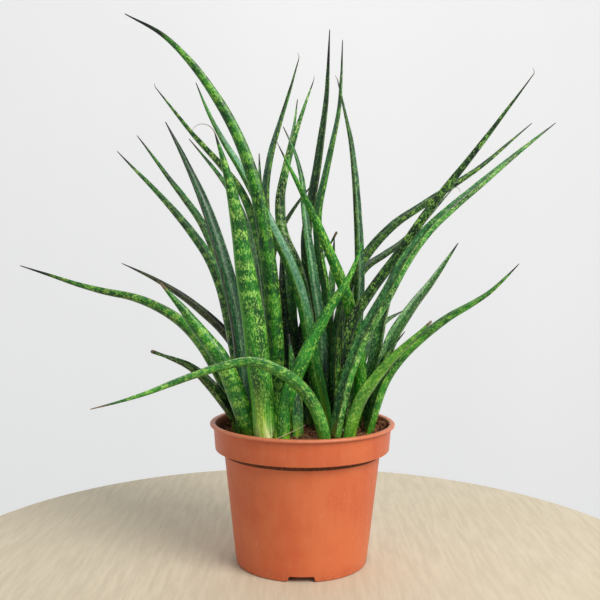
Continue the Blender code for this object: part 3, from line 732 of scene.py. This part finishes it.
def rounded(profile):
    """The outline with each corner turned into a small arc, or a larger one under the collar."""
    made = []
    for k, point in enumerate(profile):
        before, after = np.array(profile[k - 1]), np.array(profile[(k + 1) % len(profile)])
        here = np.array(point)
        one, two = np.linalg.norm(before - here), np.linalg.norm(after - here)
        wide = k == SHOULDER_CORNER
        size = SHOULDER if wide else min(CORNER, one * 0.42, two * 0.42)
        start, end = here + (before - here) / one * size, here + (after - here) / two * size
        for t in np.linspace(0, 1, ARC_STEPS * 2 if wide else ARC_STEPS):
            made.append((1 - t) ** 2 * start + 2 * t * (1 - t) * here + t**2 * end)
    return made


def split_long(profile, longest):
    made = []
    for one, two in zip(profile, profile[1:] + profile[:1]):
        steps = max(int(np.linalg.norm(np.array(two) - np.array(one)) / longest), 1)
        made += [np.array(one) + (np.array(two) - np.array(one)) * k / steps for k in range(steps)]
    return made


def lathe(name, profile, segments, material):
    count = len(profile)
    angles = np.arange(segments) * math.tau / segments
    points = [(r * math.cos(a), r * math.sin(a), z) for a in angles for r, z in profile]
    total = segments * count
    faces = [tuple(k % total for k in quad) for quad in bands_of_quads(segments + 1, count)]
    obj = new_mesh(name, points, faces, material)
    face_outwards(obj.data)
    return obj


def wedge(centre, along, side, halves, depth):
    """A cutter for one notch: halves lists (height, half width) from the table up."""
    points = []
    for d in (-depth, depth):
        for z, half in halves:
            for s in (-1, 1):
                points.append(Vector(centre) + along * d + side * half * s + Vector((0, 0, z)))
    faces = [(0, 1, 3, 2), (4, 6, 7, 5), (0, 4, 5, 1), (2, 3, 7, 6), (0, 2, 6, 4), (1, 5, 7, 3)]
    return points, faces


def post(centre, radius, low, high):
    sides, points = DRAIN_SIDES, []
    for z in (low, high):
        for k in range(sides):
            a = math.tau * k / sides
            points.append((centre[0] + radius * math.cos(a), centre[1] + radius * math.sin(a), z))
    faces = [tuple(range(sides)), tuple(range(sides, 2 * sides))]
    faces += [(k, (k + 1) % sides, sides + (k + 1) % sides, sides + k) for k in range(sides)]
    return points, faces


def cutter_of(solids):
    points, faces = [], []
    for some, others in solids:
        start = len(points)
        points += list(some)
        faces += [tuple(start + k for k in face) for face in others]
    mesh = bpy.data.meshes.new("cutter")
    mesh.from_pydata([tuple(p) for p in points], [], faces)
    face_outwards(mesh)
    return new_object("cutter", mesh)


def build_pot():
    levels = pot_levels()
    heights = sorted(levels)
    foot, chamfer = heights[:2]
    ring, floor, collar, ledge, lip, lip_low, lip_in, rim = heights[-8:]
    outside = [
        (levels[foot][-1], foot),
        (levels[chamfer][-1], chamfer),
        (levels[collar][0], collar),
        (levels[collar][-1], collar),
        (levels[lip][0], lip),
        (levels[lip][-1], lip),
        (levels[lip_low][-1], lip_low),
        (levels[lip_in][-1], lip_in),
        (levels[rim][-1], rim),
    ]
    inside = [
        (levels[rim][0], rim),
        (levels[lip_in][0], lip_in),
        (levels[ledge][-1], ledge),
        (levels[ledge][0], ledge),
        (levels[floor][-1], floor),
        (levels[floor][0], floor),
        (levels[ring][0], ring),
        (levels[ring][-1], ring),
        (levels[foot][0], foot),
    ]
    profile = split_long(rounded(outside + inside), PROFILE_STEP)
    pot = lathe("nursery_pot_fine", profile, POT_SEGMENTS, pot_material())

    # Notches and drain holes stand where the frame's pot has them.
    points, _ = merged("nursery_pot")
    radius = np.hypot(points[:, 0], points[:, 1])
    between = (points[:, 2] > chamfer + 0.1 * MM) & (points[:, 2] < ring - 0.1 * MM)
    top = float(points[between][:, 2].max())
    front = np.abs(points[:, 1] + radius) < radius * 0.2
    top_half = float(np.abs(points[between & front][:, 0]).max())
    at_foot = (points[:, 2] < foot + 0.05 * MM) & front & (points[:, 1] < 0)
    xs = np.sort(np.unique(np.round(np.abs(points[at_foot][:, 0]), 5)))
    foot_half = float(xs[xs > top_half][0])
    below = 2 * MM
    slope = (foot_half - top_half) / (top - foot)
    halves = [(-below, foot_half + slope * below), (top, top_half)]
    ring_middle = (levels[foot][0] + levels[chamfer][-1]) / 2
    depth = levels[chamfer][-1] - levels[foot][0] + MM
    solids = []
    for k in range(NOTCH_COUNT):
        turn = Matrix.Rotation(math.tau * k / NOTCH_COUNT, 3, "Z")
        out = turn @ Vector((0, -1, 0))
        solids.append(wedge(out * ring_middle, out, turn @ Vector((1, 0, 0)), halves, depth))
    on_floor = np.abs(points[:, 2] - ring) < 0.05 * MM
    hole = points[on_floor & (radius > levels[ring][0] + MM) & (radius < levels[ring][-1] - MM)]
    reach = np.hypot(hole[:, 0], hole[:, 1])
    drain_radius, middle = (reach.max() - reach.min()) / 2, (reach.max() + reach.min()) / 2
    for k in range(DRAIN_COUNT):
        angle = math.tau * (k + 0.5) / DRAIN_COUNT
        centre = (middle * math.cos(angle), middle * math.sin(angle))
        solids.append(post(centre, drain_radius, ring - below, floor + below))
    cutter = cutter_of(solids)
    cut = pot.modifiers.new("openings", "BOOLEAN")
    cut.solver = "EXACT"
    cut.object = cutter
    graph = bpy.context.evaluated_depsgraph_get()
    mesh = bpy.data.meshes.new_from_object(pot.evaluated_get(graph), depsgraph=graph)
    pot.modifiers.clear()
    pot.data = mesh
    bpy.data.objects.remove(cutter)
    mesh.shade_smooth()
    mesh.set_sharp_from_angle(angle=SHARP_ANGLE)
    # How far a point is inside the pot, 0 or 1 with a soft edge, and its height as a share of the pot's.
    co = coordinates(mesh)
    height = co[:, 2]
    radii = [levels[floor][-1], levels[ledge][0], levels[ledge][-1], levels[rim][0]]
    wall_inner = np.interp(height, [floor, ledge, ledge + 0.1 * MM, rim], radii)
    inside_share = np.clip((wall_inner + 0.3 * MM - np.hypot(co[:, 0], co[:, 1])) / (0.3 * MM), 0, 1)
    inside_share = inside_share * (height > floor - 0.2 * MM)
    vector_attribute(pot, "marks", np.stack([inside_share, height / rim, 0 * height], axis=1))
    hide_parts("nursery_pot")
    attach(pot, "root")
    return pot


def pot_material():
    material, tree, shader = new_material("terracotta_plastic", {"Specular IOR Level": 0.5})
    mm = stretched(tree, object_place(tree), (1000, 1000, 1000))
    marks = parts_of(tree, attribute(tree, "marks"))
    inside, height = marks[0], marks[1]
    clouds = noise(tree, mm, 0.03, 3.0, 0.6)
    colour = mix(tree, ramp(tree, clouds, 0.35, 0.65), (201, 95, 53), (209, 108, 63))
    flow = noise(tree, stretched(tree, mm, (1.0, 1.0, 0.12)), 0.25, 3.0, 0.6)
    colour = mix(tree, ramp(tree, flow, 0.45, 0.75, 0.0, 0.25), colour, (213, 120, 78))
    # Pale dust and scuffs, then rare dark specks.
    dust = noise(tree, mm, 0.6, 5.0, 0.7)
    where = noise(tree, mm, 0.05, 2.0, 0.5)
    dusty = times(tree, ramp(tree, dust, 0.56, 0.70), ramp(tree, where, 0.5, 0.66, 0.0, 0.3))
    colour = mix(tree, dusty, colour, (232, 168, 130))
    specks = node(tree, "TexVoronoi", {"Vector": mm, "Scale": 0.11}).outputs["Distance"]
    colour = mix(tree, ramp(tree, specks, 0.035, 0.02, 0.0, 0.75), colour, (74, 34, 22))
    elsewhere = stretched(tree, mm, (1, 1, 1), (31, 7, 3))
    pale = node(tree, "TexVoronoi", {"Vector": elsewhere, "Scale": 0.16}).outputs["Distance"]
    colour = mix(tree, ramp(tree, pale, 0.04, 0.02, 0.0, 0.55), colour, (240, 190, 150))
    # Lighter lip from wear and a painted highlight along its top, and grime with painted shade inside.
    lip = ramp(tree, height, 0.972, 0.985)
    wear_and_highlight = noise(tree, mm, 0.35, 4.0, 0.65)
    colour = mix(tree, times(tree, lip, ramp(tree, wear_and_highlight, 0.35, 0.65, 0.35, 0.75)), colour, (208, 130, 94))
    # Below the rim the inside wall is darker: grime and painted shade.
    grime_and_shade = noise(tree, mm, 0.3, 5.0, 0.7)
    inner = mix(tree, ramp(tree, grime_and_shade, 0.4, 0.62), (92, 44, 30), (142, 70, 46))
    inside_grime_and_shade = times(tree, inside, ramp(tree, height, 0.985, 0.94, 0.0, 1.0))
    colour = mix(tree, inside_grime_and_shade, colour, inner)
    # Soil dust collects just above the foot.
    foot_dust = times(tree, ramp(tree, height, 0.10, 0.0), ramp(tree, dust, 0.45, 0.62, 0.0, 0.5))
    colour = mix(tree, foot_dust, colour, (150, 84, 56))
    join(tree, colour, shader, "Base Color")
    rough = ramp(tree, wear_and_highlight, 0.3, 0.7, 0.40, 0.5)
    rough = times_plus(tree, dusty, 0.5, rough)
    rough = times_plus(tree, inside_grime_and_shade, 0.25, rough)
    join(tree, rough, shader, "Roughness")
    fine = noise(tree, mm, 2.2, 3.0, 0.6)
    soft = noise(tree, mm, 0.09, 2.0, 0.5)
    relief = times_plus(tree, soft, 2.2, times(tree, fine, 0.16))
    add_bump(tree, shader, relief, 0.16, 0.0008)
    return material


# ------------ soil


def soil_fit():
    """A smooth surface through the top of the CAD soil, as weights of the powers of x and y."""
    points, _ = merged("soil")
    low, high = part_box("soil")
    top = points[points[:, 2] > high.z - 5 * MM]
    x, y = top[:, 0] / high.x, top[:, 1] / high.x
    powers = np.stack([x**i * y**j for i in range(4) for j in range(4 - i)], axis=1)
    weights = np.linalg.lstsq(powers, top[:, 2], rcond=None)[0]
    edge = float(np.hypot(top[:, 0], top[:, 1]).max())
    return weights, high.x, edge


def soil_height(fit, x, y):
    weights, scale, _ = fit
    x, y = np.asarray(x), np.asarray(y)
    away = ((x - HEAP_PLACE[0]) / HEAP_SIZE[0]) ** 2 + ((y - HEAP_PLACE[1]) / HEAP_SIZE[1]) ** 2
    x, y = x / scale, y / scale
    level = sum(w * p for w, p in zip(weights, [x**i * y**j for i in range(4) for j in range(4 - i)]))
    return level + HEAP_HEIGHT * np.exp(-away)


def rough_field(rng):
    """A bumpy random height over x and y, made from many small soft waves."""
    waves = []
    for size, count in ((9 * MM, 14), (4 * MM, 22), (2 * MM, 30)):
        for _ in range(count):
            turn = rng.uniform(0, math.tau)
            waves.append((math.cos(turn) / size, math.sin(turn) / size, rng.uniform(0, math.tau), size))
    rows = np.array(waves)

    def read(x, y):
        x, y = np.asarray(x)[..., None], np.asarray(y)[..., None]
        phase = x * rows[:, 0] * math.tau + y * rows[:, 1] * math.tau + rows[:, 2]
        return (np.sin(phase) * rows[:, 3] ** 0.6).sum(-1) / (rows[:, 3] ** 0.6).sum() ** 0.5 / (MM**0.3)

    return read


def tube(points, radii, sides):
    """Points and quads of a thin tube along a line, with pinched ends."""
    points = np.asarray(points)
    along = unit(np.gradient(points, axis=0))
    side = unit(np.cross(along, (0.31, 0.22, 0.93)))
    other = np.cross(along, side)
    angles = np.arange(sides) * math.tau / sides
    ring = np.cos(angles)[None, :, None] * side[:, None] + np.sin(angles)[None, :, None] * other[:, None]
    made = (points[:, None] + ring * np.asarray(radii)[:, None, None]).reshape(-1, 3)
    last = (len(points) - 1) * sides
    ends = [tuple(range(sides))[::-1], tuple(range(last, last + sides))]
    return made, bands_of_quads(len(points), sides) + ends


def crumb(rng, centre, size):
    """A small rough lump: an octahedron split once, with its points moved about."""
    shape = bmesh.new()
    bmesh.ops.create_icosphere(shape, subdivisions=1, radius=1.0)
    stretch = np.array([rng.uniform(0.6, 1.2) for _ in range(3)])
    points = np.array([v.co for v in shape.verts]) * stretch * size
    points *= np.array([rng.uniform(0.75, 1.2) for _ in points])[:, None]
    faces = [tuple(v.index for v in face.verts) for face in shape.faces]
    shape.free()
    return points + centre, faces


def build_soil(leaf_feet):
    rng = random.Random(SEED * 7)
    fit = soil_fit()
    edge = fit[2]
    low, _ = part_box("soil")
    bumps = rough_field(rng)
    # Each leaf's foot at the soil line, so that crumbs and fibres lie between the leaves.
    feet = np.array(leaf_feet)

    def clear_of_leaves(x, y, room):
        return bool((np.hypot(feet[:, 0] - x, feet[:, 1] - y) > feet[:, 2] + room).all())

    points, faces, tones = [], [], []

    def add(some, others, tone):
        start = sum(len(p) for p in points)
        points.append(np.asarray(some))
        faces.extend(tuple(start + k for k in face) for face in others)
        tones.append(np.repeat(np.array([tone]), len(some), axis=0))

    # The crumbly top, then the plug's side and foot.
    rings = int(edge / SOIL_CELL)
    sides = SOIL_SIDES
    angles = np.arange(sides) * math.tau / sides
    top = []
    for k in range(rings, 0, -1):
        radius = edge * k / rings
        x, y = radius * np.cos(angles), radius * np.sin(angles)
        fade = min((edge - radius) / (2 * MM), 1.0)
        z = soil_height(fit, x, y) + bumps(x, y) * SOIL_ROUGH * (0.35 + 0.65 * fade)
        top.append(np.stack([x, y, z], axis=1))
    cad, _ = merged("soil")
    # Known fault: radii rounded to 0.1 mm and matched within 0.02 mm miss the rings where the soil meets the
    # pot's ledge and floor. The foot is then a cone that passes through the underside of the pot's collar.
    side_rings = []
    radii = np.hypot(cad[:, 0], cad[:, 1])
    for z in sorted(np.unique(np.round(cad[cad[:, 2] < top[0][:, 2].min() - MM][:, 2], 5))):
        at = radii[np.abs(cad[:, 2] - z) < 0.02 * MM]
        wide = np.unique(np.round(at[at > edge * 0.6], 4))
        side_rings += [(r, z) for r in wide if (np.abs(at - r) < 0.02 * MM).sum() >= RING_POINTS]
    circle = np.stack([np.cos(angles), np.sin(angles)], axis=1)
    stack = [np.insert(circle * r, 2, z, axis=1) for r, z in side_rings] + top
    quads = bands_of_quads(len(stack), sides)
    everything = np.vstack([*stack, (0, 0, stack[-1][:, 2].mean()), (0, 0, low.z)])
    last = (len(stack) - 1) * sides
    quads += [(last + k, last + (k + 1) % sides, len(everything) - 2) for k in range(sides)]
    quads += [((k + 1) % sides, k, len(everything) - 1) for k in range(sides)]
    add(everything, quads, (0.0, 0.0, 0.0))

    def somewhere(share):
        radius, turn = edge * math.sqrt(rng.uniform(0, share)), rng.uniform(0, math.tau)
        return radius * math.cos(turn), radius * math.sin(turn)

    for _ in range(CRUMB_COUNT):
        x, y = somewhere(0.95)
        size = rng.choice(CRUMB_SIZES) * MM
        if not clear_of_leaves(x, y, size):
            continue
        z = float(soil_height(fit, x, y) + bumps(x, y) * SOIL_ROUGH) + size * 0.3
        add(*crumb(rng, (x, y, z), size), (CRUMB, rng.random(), 0.0))

    for _ in range(FIBRE_COUNT):
        x, y = somewhere(0.92)
        if not clear_of_leaves(x, y, 0.8 * MM):
            continue
        length = rng.uniform(4, 14) * MM
        heading, bend = rng.uniform(0, math.tau), rng.uniform(-2.6, 2.6)
        lift = rng.uniform(0.1, 1.0) ** 2 * 3.2 * MM
        t = np.linspace(0, 1, FIBRE_POINTS)
        turnings = heading + bend * t
        xs = x + np.cumsum(np.cos(turnings)) * length / FIBRE_POINTS
        ys = y + np.cumsum(np.sin(turnings)) * length / FIBRE_POINTS
        reach = np.hypot(xs, ys)
        pull = np.minimum(1.0, (edge - 0.8 * MM) / np.maximum(reach, 1e-6))
        xs, ys = xs * pull, ys * pull
        ground = soil_height(fit, xs, ys) + bumps(xs, ys) * SOIL_ROUGH + 0.25 * MM
        zs = ground + lift * np.sin(math.pi * t * rng.uniform(0.5, 1.0))
        thick = rng.choice(FIBRE_RADII) * MM
        radii = thick * (1 - 0.55 * np.abs(2 * t - 1) ** 3)
        add(*tube(np.stack([xs, ys, zs], axis=1), radii, 4), (FIBRE, rng.random(), 0.0))

    for line, thick, tone in STRAWS:
        places = np.array(line) * MM
        knots = lengths(places)
        fine = smooth_through(places, knots, np.linspace(0, knots[-1], STRAW_POINTS))
        fine[:, 2] += SOIL_EDGE
        radii = thick * MM * np.linspace(1.0, 0.45, STRAW_POINTS)
        add(*tube(fine, radii, 6), (STRAW, tone, 0.0))

    obj = new_mesh("coir_soil", np.vstack(points), faces, soil_material())
    vector_attribute(obj, "tones", np.vstack(tones))
    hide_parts("soil")
    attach(obj, "root")
    return obj


def soil_material():
    material, tree, shader = new_material("coir_compost", {"Specular IOR Level": 0.25})
    mm = stretched(tree, object_place(tree), (1000, 1000, 1000))
    tones = parts_of(tree, attribute(tree, "tones"))
    kind, tone = tones[0], tones[1]
    grain = noise(tree, mm, 0.9, 6.0, 0.75)
    colour = mix(tree, ramp(tree, grain, 0.35, 0.68), (48, 24, 16), (136, 80, 52))
    threads = noise(tree, stretched(tree, mm, (0.5, 2.2, 1.4)), 0.8, 4.0, 0.7, 1.2)
    colour = mix(tree, ramp(tree, threads, 0.56, 0.68, 0.0, 0.6), colour, (186, 128, 84))
    lumps = mix(tree, tone, (60, 30, 20), (168, 106, 68))
    colour = mix(tree, ramp(tree, kind, 0.2, 0.3), colour, mix(tree, 0.4, lumps, colour))
    fibre = mix(tree, ramp(tree, tone, 0.25, 0.95), (128, 72, 46), (220, 176, 126))
    fibre = mix(tree, ramp(tree, grain, 0.4, 0.7, 0.0, 0.35), fibre, (96, 56, 38))
    colour = mix(tree, ramp(tree, kind, 0.5, 0.6), colour, fibre)
    straw = mix(tree, tone, (70, 52, 40), (226, 204, 158))
    colour = mix(tree, ramp(tree, kind, 0.8, 0.9), colour, straw)
    join(tree, colour, shader, "Base Color")
    join(tree, ramp(tree, grain, 0.3, 0.7, 0.75, 0.98), shader, "Roughness")
    fine = noise(tree, mm, 2.4, 4.0, 0.7)
    add_bump(tree, shader, calc(tree, "ADD", fine, grain), 0.7, 0.0012)
    return material


# ------------ studio


def table_material():
    material, tree, shader = new_material("pale_table", {"Roughness": 0.7})
    place = object_place(tree)
    grain = noise(tree, stretched(tree, place, (240, 24, 1)), 1.0, 5.0, 0.65)
    clouds = noise(tree, place, 7.0, 3.0, 0.6)
    colour = mix(tree, ramp(tree, grain, 0.35, 0.65), (200, 187, 162), (212, 200, 175))
    colour = mix(tree, ramp(tree, clouds, 0.4, 0.7, 0.0, 0.4), colour, (205, 191, 165))
    join(tree, colour, shader, "Base Color")
    return material


def wall_material():
    glow = {"Emission Color": (1.0, 1.0, 0.985, 1.0), "Emission Strength": WALL_GLOW}
    material, tree, shader = new_material("white_wall", {"Roughness": 0.9, **glow})
    place = object_place(tree)
    soft = noise(tree, stretched(tree, place, (3, 1, 0.2)), 1.0, 2.0)
    join(tree, mix(tree, soft, (228, 228, 227), (238, 238, 236)), shader, "Base Color")
    return material


def build_studio():
    sides = TABLE_SIDES
    turns = [math.tau * k / sides for k in range(sides)]
    middle = TABLE_BACK - TABLE_RADIUS
    ring = [(TABLE_RADIUS * math.cos(a), middle + TABLE_RADIUS * math.sin(a)) for a in turns]
    points = [(x, y, z) for z in (0.0, -TABLE_THICKNESS) for x, y in ring]
    faces = [tuple(range(sides)), tuple(range(sides, 2 * sides))[::-1]]
    faces += [(k, sides + k, sides + (k + 1) % sides, (k + 1) % sides) for k in range(sides)]
    new_mesh("table_top", points, faces, table_material(), smooth=False)
    low, high = ([(side * WALL_REACH, WALL_DISTANCE, z) for side in (-1, 1)] for z in (WALL_LOW, WALL_HIGH))
    wall = low + high[::-1]
    new_mesh("back_wall", wall, [(0, 1, 2, 3)], wall_material(), smooth=False)

    world = bpy.data.worlds.new("soft_room")
    world.use_nodes = True
    background = world.node_tree.nodes["Background"]
    background.inputs["Color"].default_value = ROOM_COLOUR
    background.inputs["Strength"].default_value = ROOM_LIGHT
    bpy.context.scene.world = world

    for name, place, towards, size, power, colour in LAMPS:
        data = bpy.data.lights.new(name, "AREA")
        data.shape = "DISK"
        data.size, data.energy, data.color = size, power, colour
        light = new_object(name, data)
        light.location = place
        light.rotation_euler = (Vector(towards) - Vector(place)).to_track_quat("-Z", "Y").to_euler()


def build_camera():
    data = bpy.data.cameras.new("camera")
    data.sensor_width = CAMERA_SENSOR
    data.lens = CAMERA_LENS
    data.clip_start, data.clip_end = 0.01, 20.0
    camera = new_object("camera", data)
    pitch, roll = math.radians(CAMERA_PITCH), math.radians(CAMERA_ROLL)
    ahead = Vector((0, math.cos(pitch), -math.sin(pitch)))
    flat = Vector((1, 0, 0))
    level = flat.cross(ahead)
    right = flat * math.cos(roll) + level * math.sin(roll)
    up = level * math.cos(roll) - flat * math.sin(roll)
    turn = Matrix((right, up, -ahead)).transposed()
    camera.matrix_world = Matrix.Translation(CAMERA_PLACE) @ turn.to_4x4()
    bpy.context.scene.camera = camera


def feet_of(leaves):
    """Where each leaf stands at the soil line: x, y and radius."""
    feet = []
    for leaf in leaves:
        co = coordinates(leaf.data)
        near = co[np.abs(co[:, 2] - SOIL_EDGE) < 1.8 * MM]
        if len(near):
            middle = near.mean(axis=0)
            feet.append((middle[0], middle[1], float(np.linalg.norm(near - middle, axis=1).max()) * 0.8))
    return feet


leaf_names = sorted(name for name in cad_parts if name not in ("nursery_pot", "soil"))
leaves = []
for number, leaf_name in enumerate(leaf_names):
    look = {**PLAIN_LOOK, **LOOKS.get(short_name(leaf_name), {})}
    leaves.append(build_leaf(leaf_name, leaf_material(leaf_name, look), number + 1))
build_pot()
build_soil(feet_of(leaves))
build_studio()
build_camera()
bpy.context.scene.view_settings.view_transform = "Standard"
